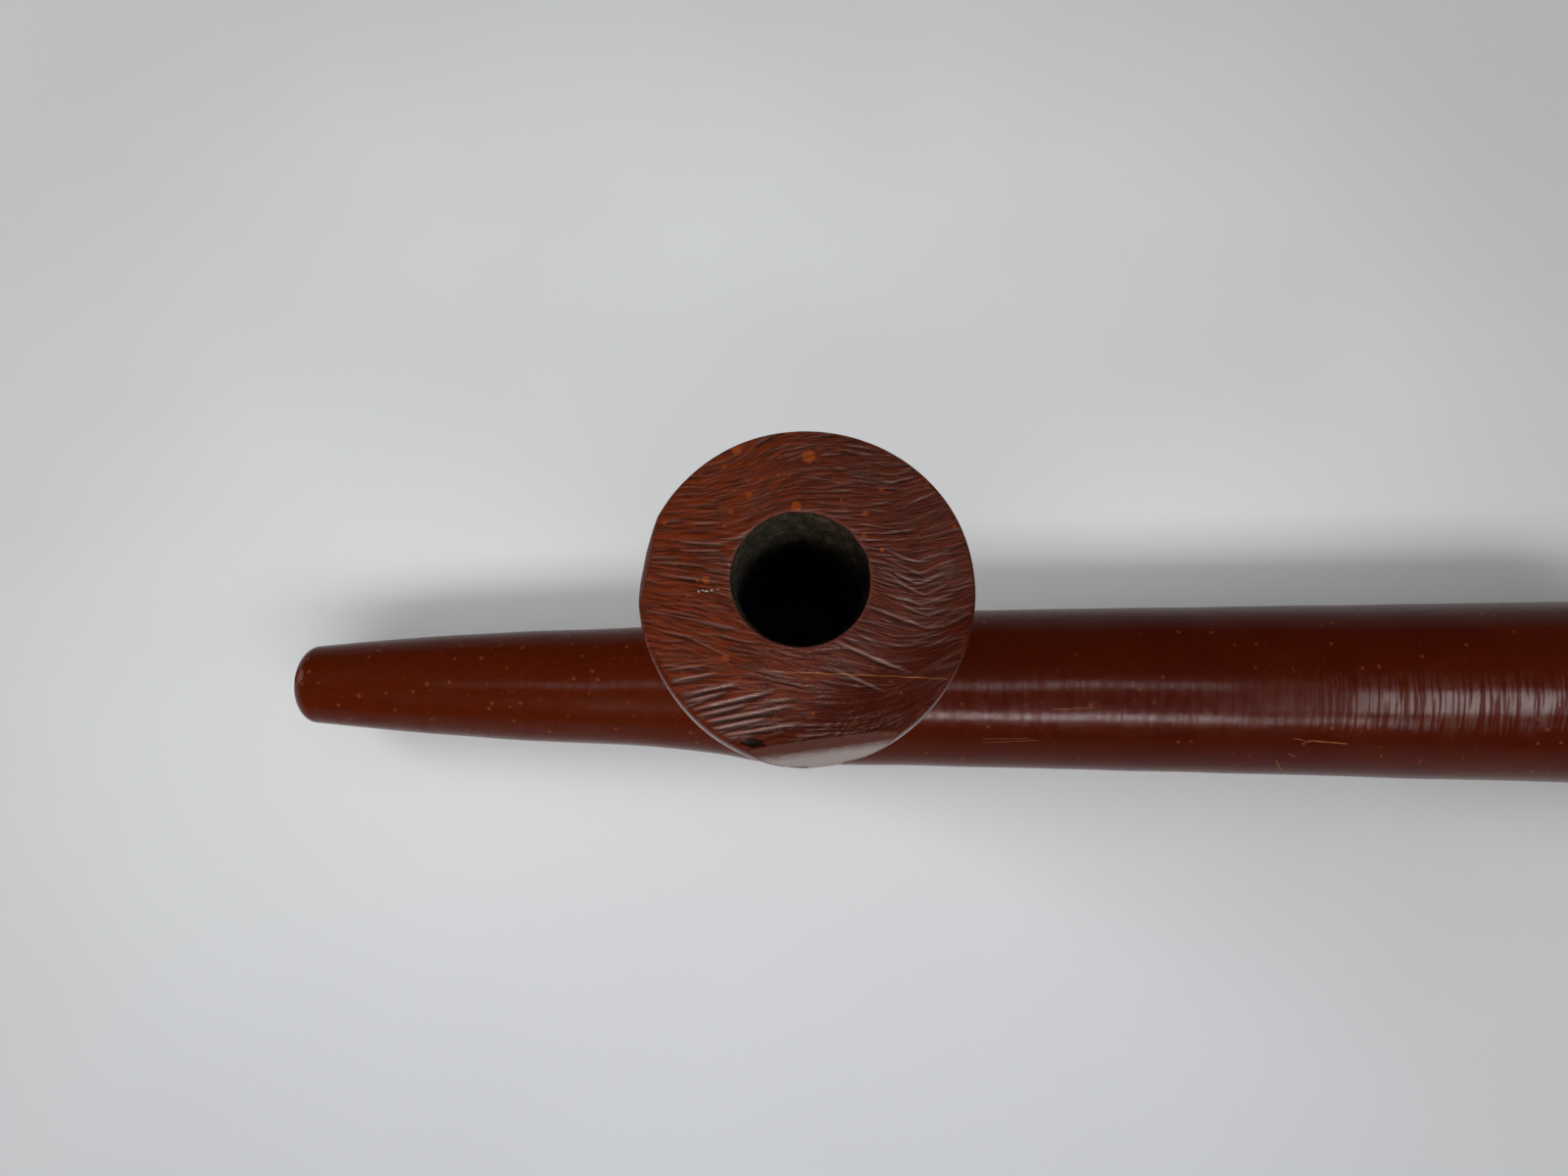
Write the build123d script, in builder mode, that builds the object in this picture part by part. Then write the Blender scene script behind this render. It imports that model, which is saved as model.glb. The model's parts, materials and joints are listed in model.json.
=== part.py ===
"""T-shaped red stone smoking pipe with a wooden stem.

The head is one carved piece of stone: an upright bowl, a prow that tapers to the front, and a shank
that widens towards the stem. The bowl is drilled from above, the shank from its end face, and a
narrow draught hole joins the two. A wooden stem plugs into the shank on a leather gasket.

Frame: millimetres, +Z up. The origin is on the flat under the shank, below the bowl's outer axis.
+X runs along the shank towards the stem, and the prow points along -X.
"""

import math
import os

from build123d import *

# Bowl
BOWL_TOP = 88.5  # crown of the rim above the rest face
BOWL_RADIUS = 19.5  # widest, just under the rim
BOWL_WIDEST_Z = 84.0
BOWL_FOOT_RADIUS = 12.2
BOWL_WALL = ((12.6, 28.0), (14.6, 46.0), (17.2, 66.0))  # radius and height between foot and widest
RIM_DROP = 1.4  # how far the domed rim falls from its crown to its shoulder
SHOULDER_RADIUS = 18.8
JUNCTION_FILLET = 5.0
JUNCTION_TOP_Z = 32.0  # the edges where bowl and shank meet lie below this

# Bowl drilling, a little off the bowl's own axis, as drilled by hand
BORE_X, BORE_Y = -0.8, 1.5
CHAMBER_RADIUS = 7.95
CHAMBER_FLOOR_Z = 42.0  # where the straight wall ends and the drill cone starts
DRILL_CONE = 3.2  # depth of that cone, down to the draught hole
DRAUGHT_RADIUS = 2.5

# Carbon lining left in the chamber by use
LINING_THICKNESS = 0.45
LINING_TOP_Z = 87.9
LINING_SLOPE = 0.45  # how far its ends slope along the bore

# Prow and shank, about one axis: places along it and the radius there
AXIS_Z = 13.2
PROW_LENGTH = 87.9
PROW_TIP_RADIUS = 6.75
PROW_TIP_ROUND = 4.5  # length of the rounded tip
PROW_BELLY = (-55.8, 9.0)
PROW_ROOT = (-28.4, 10.35)
CROSSING = ((-20.0, 10.9), (-13.0, 11.75), (-6.0, 13.0), (2.0, 13.45), (16.0, 13.4))
SHANK_START = (36.0, 13.75)
SHANK_LENGTH = 150.0
SHANK_END_RADIUS = 16.1
SHANK_END_ROUND = 1.5

# Stem socket and draught hole along the shank
SOCKET_DEPTH = 34.0
SOCKET_MOUTH_RADIUS = 8.2
SOCKET_FLOOR_RADIUS = 7.2
SOCKET_BEVEL = 0.6
AIRWAY_OVERRUN = 4.0  # how far the drill ran past the bowl's axis

# Stem and its gasket
FIT_GAP = 0.05  # radial clearance between the gasket and the socket
GASKET_THICKNESS = 0.6
GASKET_FRONT = 5.0  # from the socket floor
GASKET_LENGTH = 25.0
TENON_LENGTH = 32.0
STEM_LENGTH = 325.0  # from the shoulder to the mouth end
STEM_SHOULDER_RADIUS = 10.5
STEM_SHOULDER_ROUND = 1.2
STEM_TAPER = ((45.0, 11.4), (170.0, 9.6), (280.0, 7.0))  # places from the shoulder, and the radius there
STEM_NECK_RADIUS = 5.7
STEM_NECK_FROM_END = 16.0
STEM_LIP_RADIUS = 6.4
STEM_LIP_FROM_END = 4.0
STEM_MOUTH_RADIUS = 3.9
STEM_MOUTH_BEVEL = 0.4
STEM_BORE_RADIUS = 2.5

CUT_CLEAR = 1.0  # how far a cut runs past the face it opens through

os.makedirs("parts", exist_ok=True)

shank_axis = Axis((0, 0, AXIS_Z), (1, 0, 0))
bore_axis = Axis((BORE_X, BORE_Y, 0), (0, 0, 1))
# Outlines turned about the shank are drawn on this plane: local x along the shank, local y the radius.
shank_plane = Plane(origin=(0, 0, AXIS_Z), x_dir=(1, 0, 0), z_dir=(0, -1, 0))
# Outlines turned about the bowl's drilling: local x the radius, local y the height.
bore_plane = Plane(origin=(BORE_X, BORE_Y, 0), x_dir=(1, 0, 0), z_dir=(0, -1, 0))


def socket_radius(x):
    """Radius of the tapered stem socket at x."""
    along = (x - (SHANK_LENGTH - SOCKET_DEPTH)) / SOCKET_DEPTH
    return SOCKET_FLOOR_RADIUS + along * (SOCKET_MOUTH_RADIUS - SOCKET_FLOOR_RADIUS)


# ---------------------------------------------------------------- pipe head
with BuildPart() as pipe_head:
    # Prow and shank: a convex taper from a blunt rounded tip, a swell under the bowl, then a slow widening
    with BuildSketch(shank_plane) as shank_outline:
        with BuildLine():
            tip = (-PROW_LENGTH, 0)
            halfway = math.sqrt(0.5)  # of a quarter turn round the tip
            tip_middle = (-PROW_LENGTH + (1 - halfway) * PROW_TIP_ROUND, halfway * PROW_TIP_RADIUS)
            prow = ThreePointArc((-PROW_LENGTH + PROW_TIP_ROUND, PROW_TIP_RADIUS), PROW_BELLY, PROW_ROOT)
            Spline(tip, tip_middle, prow @ 0, tangents=((0, 1), prow % 0))
            shank = Polyline(SHANK_START, (SHANK_LENGTH, SHANK_END_RADIUS), (SHANK_LENGTH, 0), tip)
            Spline(prow @ 1, *CROSSING, SHANK_START, tangents=(prow % 1, shank % 0))
        make_face()
    revolve(axis=shank_axis)
    fillet(pipe_head.faces().sort_by(Axis.X)[-1].edges(), SHANK_END_ROUND)

    # Bowl: a slender cone, fullest just under the domed rim
    with BuildSketch(Plane.XZ) as bowl_outline:
        with BuildLine():
            foot = (BOWL_FOOT_RADIUS, AXIS_Z)
            wall = Spline(foot, *BOWL_WALL, (BOWL_RADIUS, BOWL_WIDEST_Z), tangents=((0, 1), (0, 1)))
            shoulder = (SHOULDER_RADIUS, BOWL_TOP - RIM_DROP)
            halfway_in = (0.5 * SHOULDER_RADIUS, BOWL_TOP - 0.25 * RIM_DROP)
            rim = ThreePointArc(shoulder, halfway_in, (0, BOWL_TOP))
            Spline(wall @ 1, shoulder, tangents=((0, 1), rim % 0))
            Polyline((0, BOWL_TOP), (0, AXIS_Z), foot)
        make_face()
    revolve(axis=Axis.Z)
    meeting = pipe_head.edges(Select.NEW).filter_by(lambda edge: edge.bounding_box().max.Z < JUNCTION_TOP_Z)
    fillet(meeting, JUNCTION_FILLET)

    # Rest face: the narrow flat filed along the underside
    split(bisect_by=Plane.XY, keep=Keep.TOP)

    # Chamber, its drill cone and the draught hole down to the shank
    with BuildSketch(bore_plane) as chamber_outline:
        with BuildLine():
            Polyline(
                (0, AXIS_Z),
                (DRAUGHT_RADIUS, AXIS_Z),
                (DRAUGHT_RADIUS, CHAMBER_FLOOR_Z - DRILL_CONE),
                (CHAMBER_RADIUS, CHAMBER_FLOOR_Z),
                (CHAMBER_RADIUS, BOWL_TOP + CUT_CLEAR),
                (0, BOWL_TOP + CUT_CLEAR),
                close=True,
            )
        make_face()
    revolve(axis=bore_axis, mode=Mode.SUBTRACT)

    # Draught hole along the shank, opening into the tapered stem socket
    socket_floor_x = SHANK_LENGTH - SOCKET_DEPTH
    with BuildSketch(shank_plane) as socket_outline:
        with BuildLine():
            Polyline(
                (-AIRWAY_OVERRUN, 0),
                (-AIRWAY_OVERRUN, DRAUGHT_RADIUS),
                (socket_floor_x, DRAUGHT_RADIUS),
                (socket_floor_x, SOCKET_FLOOR_RADIUS),
                (SHANK_LENGTH - SOCKET_BEVEL, socket_radius(SHANK_LENGTH - SOCKET_BEVEL)),
                (SHANK_LENGTH, SOCKET_MOUTH_RADIUS + SOCKET_BEVEL),
                (SHANK_LENGTH + CUT_CLEAR, SOCKET_MOUTH_RADIUS + SOCKET_BEVEL),
                (SHANK_LENGTH + CUT_CLEAR, 0),
                close=True,
            )
        make_face()
    revolve(axis=shank_axis, mode=Mode.SUBTRACT)

# ---------------------------------------------------------------- carbon lining
with BuildPart() as carbon_lining:
    inner_radius = CHAMBER_RADIUS - LINING_THICKNESS
    with BuildSketch(bore_plane) as lining_outline:
        with BuildLine():
            Polyline(
                (DRAUGHT_RADIUS, CHAMBER_FLOOR_Z - DRILL_CONE),
                (CHAMBER_RADIUS, CHAMBER_FLOOR_Z),
                (CHAMBER_RADIUS, LINING_TOP_Z),
                (inner_radius, LINING_TOP_Z - LINING_SLOPE),
                (inner_radius, CHAMBER_FLOOR_Z + LINING_SLOPE),
                (DRAUGHT_RADIUS, CHAMBER_FLOOR_Z - DRILL_CONE + LINING_SLOPE),
                close=True,
            )
        make_face()
    revolve(axis=bore_axis)

# ---------------------------------------------------------------- tenon gasket
gasket_front_x = socket_floor_x + GASKET_FRONT
gasket_back_x = gasket_front_x + GASKET_LENGTH
with BuildPart() as tenon_gasket:
    with BuildSketch(shank_plane) as gasket_outline:
        with BuildLine():
            outer_front = socket_radius(gasket_front_x) - FIT_GAP
            outer_back = socket_radius(gasket_back_x) - FIT_GAP
            Polyline(
                (gasket_front_x, outer_front - GASKET_THICKNESS),
                (gasket_front_x, outer_front),
                (gasket_back_x, outer_back),
                (gasket_back_x, outer_back - GASKET_THICKNESS),
                close=True,
            )
        make_face()
    revolve(axis=shank_axis)

# ---------------------------------------------------------------- stem
tenon_front_x = SHANK_LENGTH - TENON_LENGTH
tenon_inset = FIT_GAP + GASKET_THICKNESS  # tenon surface below the socket's wall
stem_end_x = SHANK_LENGTH + STEM_LENGTH
with BuildPart() as stem:
    with BuildSketch(shank_plane) as stem_outline:
        with BuildLine():
            tenon_front = (tenon_front_x, socket_radius(tenon_front_x) - tenon_inset)
            tenon_back = (SHANK_LENGTH, socket_radius(SHANK_LENGTH) - tenon_inset)
            shoulder_face = (SHANK_LENGTH, STEM_SHOULDER_RADIUS - STEM_SHOULDER_ROUND)
            shoulder_edge = (SHANK_LENGTH + STEM_SHOULDER_ROUND, STEM_SHOULDER_RADIUS)
            Polyline((tenon_front_x, STEM_BORE_RADIUS), tenon_front, tenon_back, shoulder_face)
            TangentArc(shoulder_face, shoulder_edge, tangent=(0, 1))
            taper = [(SHANK_LENGTH + along, radius) for along, radius in STEM_TAPER]
            neck = (stem_end_x - STEM_NECK_FROM_END, STEM_NECK_RADIUS)
            lip = (stem_end_x - STEM_LIP_FROM_END, STEM_LIP_RADIUS)
            mouth = (stem_end_x, STEM_MOUTH_RADIUS)
            Spline(shoulder_edge, *taper, neck, lip, tangents=((1, 0), (1, 0)))
            Spline(lip, mouth, tangents=((1, 0), (0, -1)))
            mouth_edge = (stem_end_x - STEM_MOUTH_BEVEL, STEM_BORE_RADIUS)
            Polyline(mouth, mouth_edge, (tenon_front_x, STEM_BORE_RADIUS))
        make_face()
    revolve(axis=shank_axis)

# ---------------------------------------------------------------- files
pipe_head.part.label = "pipe_head"
carbon_lining.part.label = "carbon_lining"
tenon_gasket.part.label = "tenon_gasket"
stem.part.label = "stem"

export_step(pipe_head.part, "parts/pipe_head.step")
export_step(carbon_lining.part, "parts/carbon_lining.step")
export_step(tenon_gasket.part, "parts/tenon_gasket.step")
export_step(stem.part, "parts/stem.step")
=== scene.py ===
"""The looks of a T-shaped red stone tobacco pipe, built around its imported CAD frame.

Lengths here are in millimetres, and each mesh is scaled to metres as it is made. The bowl stands on
the Z axis, the shank runs along +X to the stem, and the prow points along -X.
"""

import json
import math

import bmesh
import bpy
import numpy as np
from mathutils import Matrix, Vector
from mathutils.geometry import delaunay_2d_cdt


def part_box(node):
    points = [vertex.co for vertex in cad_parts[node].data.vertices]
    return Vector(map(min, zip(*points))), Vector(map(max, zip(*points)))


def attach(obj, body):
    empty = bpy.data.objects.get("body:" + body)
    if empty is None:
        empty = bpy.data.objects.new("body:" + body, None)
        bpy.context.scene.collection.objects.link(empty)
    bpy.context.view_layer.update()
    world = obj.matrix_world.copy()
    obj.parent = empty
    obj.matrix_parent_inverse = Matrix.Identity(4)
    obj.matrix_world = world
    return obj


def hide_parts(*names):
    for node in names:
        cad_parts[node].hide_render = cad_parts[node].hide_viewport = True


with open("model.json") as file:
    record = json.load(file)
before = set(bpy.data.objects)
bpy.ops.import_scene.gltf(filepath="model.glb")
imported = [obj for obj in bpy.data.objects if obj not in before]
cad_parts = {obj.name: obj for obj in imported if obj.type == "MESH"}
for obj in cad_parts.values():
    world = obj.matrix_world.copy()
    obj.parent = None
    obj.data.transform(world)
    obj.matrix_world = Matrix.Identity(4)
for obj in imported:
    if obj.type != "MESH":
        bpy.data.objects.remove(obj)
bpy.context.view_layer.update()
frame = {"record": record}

MM = 0.001
RNG = np.random.default_rng(11)

# ---- sizes taken from the frame
head_low, head_high = (np.array(corner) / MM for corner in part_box("pipe_head"))
stem_low, stem_high = (np.array(corner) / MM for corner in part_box("stem"))
lining_low, lining_high = (np.array(corner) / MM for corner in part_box("carbon_lining"))
gasket_low, gasket_high = (np.array(corner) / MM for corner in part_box("tenon_gasket"))
mounts = {mount["name"]: mount for mount in frame["record"]["mounts"]}

TIP_X = head_low[0]
END_X = head_high[0]
AXIS_Z = 0.5 * (stem_low[2] + stem_high[2])
BOWL_RADIUS = 0.5 * (head_high[1] - head_low[1])
RIM_Z = head_high[2]  # the rim's highest ring, at the bore's edge
BORE = np.array([0.5 * (lining_low[0] + lining_high[0]), 0.5 * (lining_low[1] + lining_high[1])])
BORE_RADIUS = 0.5 * (lining_high[0] - lining_low[0])
DRAUGHT_RADIUS = mounts["stem_draught_bore"]["dims"]["r_mm"]
CONE_Z = lining_low[2]  # where the drill cone meets the draught hole
TENON_X = stem_low[0]
STEM_END_X = stem_high[0]

# ---- the stone head's own sizes
TIP_RADIUS = 6.75
NOSE_X = TIP_X + 0.5  # the dome is worn back a little from its full length
TIP_ROUND = 4
TUBE_OUTLINE = (
    (NOSE_X + TIP_ROUND, TIP_RADIUS), (-70, 8), (-55.8, 9), (-42, 9.78), (-28.4, 10.35), (-20, 10.9),
    (-13, 11.75), (-6, 13), (2, 13.4), (16, 13.4), (36, 13.75), (END_X, 16.1),
)
BOWL_WIDEST_Z = 84
BOWL_OUTLINE = ((AXIS_Z, 12.2), (28, 12.6), (46, 14.6), (66, 17.2), (BOWL_WIDEST_Z, BOWL_RADIUS))
FOOT_FILLET = 5
FOOT_REACH_X = 19.5  # how far along the shank the bowl's foot is blended in
FOOT_REACH_TURN = math.radians(80)  # and how far round it
FOOT_CLEAR = (0.9, 0.07)  # the gap left round the foot: along, and in radians
SOCKET_FLOOR_X = 116
SOCKET_RADII = (7.2, 8.2)
END_ROUND = 1.5
SOCKET_BEVEL = 0.6
CHAMBER_FLOOR_Z = 42
BEND = 4  # the draught hole's turn from the chamber into the shank


def curve(points):
    """A smooth curve y(x) through a few points, which never overshoots between them."""
    x, y = (np.array(values, float) for values in zip(*points))
    step, slope = np.diff(x), np.diff(y) / np.diff(x)
    tangent = np.empty_like(x)
    tangent[0], tangent[-1] = slope[0], slope[-1]
    weight_a, weight_b = 2 * step[1:] + step[:-1], step[1:] + 2 * step[:-1]
    same_way = slope[:-1] * slope[1:] > 0
    safe_a, safe_b = np.where(same_way, slope[:-1], 1), np.where(same_way, slope[1:], 1)
    mean = (weight_a + weight_b) / (weight_a / safe_a + weight_b / safe_b)
    tangent[1:-1] = np.where(same_way, mean, 0)

    def at(value):
        value = np.clip(value, x[0], x[-1])
        i = np.clip(np.searchsorted(x, value) - 1, 0, len(step) - 1)
        t = (value - x[i]) / step[i]
        start = (1 + 2 * t) * (1 - t) ** 2 * y[i] + t * (1 - t) ** 2 * step[i] * tangent[i]
        return start + t * t * (3 - 2 * t) * y[i + 1] + t * t * (t - 1) * step[i] * tangent[i + 1]

    return at


def smoothstep(low, high, value):
    t = np.clip((value - low) / (high - low), 0, 1)
    return t * t * (3 - 2 * t)


def ripple(points, wavelength, seed):
    """A smooth random field over points, about -1 to 1: a few sine waves in random directions."""
    random, waves = np.random.default_rng(seed), 14
    points = np.asarray(points, float)
    direction = random.normal(size=(waves, points.shape[-1]))
    direction /= np.linalg.norm(direction, axis=1)[:, None]
    frequency = 2 * math.pi / (wavelength * random.uniform(0.7, 1.6, waves))
    phase = random.uniform(0, 2 * math.pi, waves)
    return np.sin(points @ (direction * frequency[:, None]).T + phase).sum(-1) / math.sqrt(waves)


tube_radius = curve(TUBE_OUTLINE)
bowl_radius = curve(BOWL_OUTLINE)


def into_scene(name, data):
    """A new object in the scene, made of a mesh, a lamp or a camera."""
    made = bpy.data.objects.new(name, data)
    bpy.context.scene.collection.objects.link(made)
    return made


class Surface:
    """A mesh in the making: rings of points, and the faces between them."""

    def __init__(self):
        self.points = []
        self.faces = []
        self.size = 0

    def add(self, points):
        """Adds points, and returns their numbers."""
        points = np.asarray(points, float)
        self.points.append(points)
        self.size += len(points)
        return np.arange(self.size - len(points), self.size)

    def strip(self, a, b):
        """Faces between two closed rings. One of them may have twice the other's points."""
        if len(a) == len(b):
            self.faces += np.stack([a, np.roll(a, -1), np.roll(b, -1), b], 1).tolist()
            return
        if len(a) < len(b):
            a, b = b, a
        first, middle, last = a[0::2], a[1::2], np.roll(a[0::2], -1)
        near, far = b, np.roll(b, -1)
        for corners in ((first, middle, near), (middle, far, near), (middle, last, far)):
            self.faces += np.stack(corners, 1).tolist()

    def loft(self, layers, before=(), after=(), closed=False):
        """Joins layers of points in a row, between rings already there. Returns the last ring."""
        rings = [*before, *(self.add(points) for points in layers), *after]
        for a, b in zip(rings, rings[1:] + rings[:1] * closed):
            self.strip(a, b)
        return rings[-1]

    def object(self, name, values=None):
        """The finished mesh as an object in metres. values are point attributes by name."""
        mesh = bpy.data.meshes.new(name)
        mesh.from_pydata((np.concatenate(self.points) * MM).tolist(), [], self.faces)
        for key, value in (values or {}).items():
            mesh.attributes.new(key, "FLOAT", "POINT").data.foreach_set("value", value.astype(np.float32))
        shape = bmesh.new()
        shape.from_mesh(mesh)
        bmesh.ops.recalc_face_normals(shape, faces=shape.faces)
        shape.to_mesh(mesh)
        shape.free()
        mesh.shade_smooth()
        return into_scene(name, mesh)


def circle(count):
    """Angles evenly round a full turn."""
    return np.arange(count) * 2 * math.pi / count


def about_x(x, radius, turn):
    """Points at x about the shank's axis. turn runs from the top towards +Y."""
    x, radius, turn = np.broadcast_arrays(x, radius, turn)
    return np.stack([x, radius * np.sin(turn), AXIS_Z + radius * np.cos(turn)], -1)


def about_z(z, radius, turn, centre=(0, 0)):
    """Points at z about an upright axis. turn runs from +X towards +Y."""
    z, radius, turn = np.broadcast_arrays(z, radius, turn)
    return np.stack([centre[0] + radius * np.cos(turn), centre[1] + radius * np.sin(turn), z], -1)


# ---- stone head: shape
def tube_surface(x, turn):
    """The shank's and prow's skin: round, with a flat filed along its underside."""
    points = about_x(x, tube_radius(x), turn)
    points[..., 2] = np.maximum(points[..., 2], 0)
    return points


def union(points):
    """Signed distance to tube and bowl together, with a fillet where they meet steeply."""
    x, y, z = points[..., 0], points[..., 1], points[..., 2] - AXIS_Z
    from_tube, from_bowl = np.hypot(y, z), np.hypot(x, y)
    tube = from_tube - tube_radius(x)
    bowl = np.maximum(from_bowl - bowl_radius(points[..., 2]), -z)
    alike = np.clip(y * y / np.maximum(from_tube * from_bowl, 1e-9), 0, 1)
    fillet = FOOT_FILLET * (1 - alike)
    inside = np.hypot(np.maximum(fillet - tube, 0), np.maximum(fillet - bowl, 0))
    return np.maximum(fillet, np.minimum(tube, bowl)) - inside


def onto_union(points, centre):
    """Moves points along rays from centre onto the blended skin."""
    ray = points - centre
    low = np.zeros(len(points))
    high = np.where(union(points) > 0, 1, 1.25)
    for _ in range(40):
        middle = 0.5 * (low + high)
        outside = union(centre + ray * middle[:, None]) > 0
        high = np.where(outside, middle, high)
        low = np.where(outside, low, middle)
    return centre + ray * high[:, None]


TUBE_COUNT = 180
FLAKE = (-85.3, 19, 1.25, 1.35)  # x, height, half width and half depth of a broken flake at the tip
RIM_COUNT = 720
NECK_Z = 38  # where the bowl is clear of its foot
BOWL_HEART = np.array([0, 0, 31.0])  # the place the foot's points are moved away from
PATCH_X = (-24, 24)
PATCH_TURN = math.radians(100)


def tube_rings():
    """Places along the tube for its rings, closest where it turns."""
    tip = NOSE_X + TIP_ROUND * (1 - np.cos(np.linspace(0.08, math.pi / 2, 20)))
    prow = np.linspace(NOSE_X + TIP_ROUND, PATCH_X[0], 30)
    crossing = np.linspace(*PATCH_X, 29)
    shank = np.linspace(PATCH_X[1], END_X - END_ROUND, 50)
    return np.concatenate([tip, prow[1:], crossing[1:], shank[1:]])


def tip_radius(x):
    """The blunt, domed end of the prow."""
    along = np.clip((x - NOSE_X) / TIP_ROUND, 0, 1)
    return TIP_RADIUS * (1 - (1 - along) ** 2.2) ** (1 / 2.2)


head = Surface()
turns = circle(TUBE_COUNT)


def flake(points):
    """How far into the broken flake at the prow's tip each point lies, from 0 to 1."""
    x, z, wide, deep = FLAKE
    away = np.hypot((points[:, 1] - 0.5) / wide, np.hypot(points[:, 0] - x, points[:, 2] - z) / deep)
    return smoothstep(1, 0.75, away * (1 + 0.12 * ripple(points, 1.5, 12)))


def build_tube():
    """Prow and shank, left open round the bowl's foot. Returns the last ring, and the opening's points."""
    places = tube_rings()
    rings = []
    for x in places:
        on_dome = x < NOSE_X + TIP_ROUND
        rings.append(head.add(about_x(x, tip_radius(x), turns) if on_dome else tube_surface(x, turns)))
    nose = head.add([(NOSE_X, 0, AXIS_Z)]).tolist()
    head.faces += [[*pair, *nose] for pair in zip(rings[0].tolist(), np.roll(rings[0], -1).tolist())]
    signed = (turns + math.pi) % (2 * math.pi) - math.pi
    open_turns = np.abs(signed) <= PATCH_TURN
    first, last = (int(np.argmin(np.abs(places - x))) for x in PATCH_X)
    for k, (a, b) in enumerate(zip(rings, rings[1:])):
        quads = np.stack([a, np.roll(a, -1), np.roll(b, -1), b], 1)
        if first <= k < last:
            quads = quads[~(open_turns & np.roll(open_turns, -1))]
        head.faces += quads.tolist()
    columns = np.flatnonzero(open_turns)
    columns = columns[np.argsort(signed[columns])]
    grid = np.array([ring[columns] for ring in rings[first:last + 1]])
    return rings[-1], (grid, *np.meshgrid(places[first:last + 1], signed[columns], indexing="ij"))


def fill_patch(grid, x, turn, foot, foot_x, foot_turn):
    """Triangles between the opening's edge and the bowl's foot, over the tube's unrolled skin."""
    on_edge = np.ones(grid.shape, bool)
    on_edge[1:-1, 1:-1] = False
    clear = np.hypot(x / (FOOT_REACH_X + FOOT_CLEAR[0]), turn / (FOOT_REACH_TURN + FOOT_CLEAR[1])) > 1
    parts = (on_edge, clear & ~on_edge)
    numbers = np.concatenate([*(grid[part] for part in parts), foot]).tolist()
    scale = tube_radius(0)
    flat_x = np.concatenate([*(x[part] for part in parts), foot_x])
    flat_y = scale * np.concatenate([*(turn[part] for part in parts), foot_turn])
    flat = [Vector(pair) for pair in zip(flat_x, flat_y)]
    row = np.zeros(grid.shape, int)
    row[on_edge] = np.arange(on_edge.sum())
    outline = np.concatenate([row[:-1, 0], row[-1, :-1], row[:0:-1, -1], row[0, :0:-1]])
    around = np.arange(len(flat) - len(foot), len(flat))
    borders = [pair for loop in (outline, around) for pair in zip(loop.tolist(), np.roll(loop, -1).tolist())]
    corners, _, faces, sources, _, _ = delaunay_2d_cdt(flat, borders, [], 0, 1e-6)
    for face in faces:
        middle = sum((corners[i] for i in face), Vector((0, 0))) / len(face)
        if np.hypot(middle.x / FOOT_REACH_X, middle.y / scale / FOOT_REACH_TURN) > 1:
            head.faces.append([numbers[sources[i][0]] for i in face])


# ---- the file's marks on the rim
GRAIN = (  # which way the file ran: place on the rim, then its heading in degrees
    (-14, 9, 0), (-12, 5, -4), (-14, 3, -8), (-14, 1, -9), (-15, -3, -11), (-11, -6, -22), (-8, -9, -8),
    (-12, -9, 3), (-11, -12, 12), (-8, -14, 12), (-5, -16, 8), (-2, -11, -12), (0, -15, 3), (4, -14, 6),
    (8, -13, 22), (11, -12, 28), (13, -9, 28), (3, -7, -2), (5, -9, -24), (8, -8, -20), (-8, 12, 12),
    (-5, 10, 24), (-4, 15, 35), (0, 15, 4), (0, 11, 6), (4, 11, -4), (8, 14, -8), (12, 12, 20), (9, 9, -4),
    (14, 9, 24), (9, 6, 3), (14, 5, 8), (9, 2, -25), (9, -2, -26), (13, 0, 0), (16, 2, 24), (16, -2, 26),
    (12, -4, -8), (9, -5, -18), (15, -6, 28), (16, 5, 20),
)
FILINGS = (  # count, length, half width, depth of each kind of mark
    (300, (3, 7.5), (0.1, 0.13), (0.03, 0.065)),
    (200, (2.5, 6), (0.11, 0.16), (0.04, 0.09)),
    (70, (1.5, 4), (0.13, 0.2), (0.06, 0.11)),
)
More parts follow.
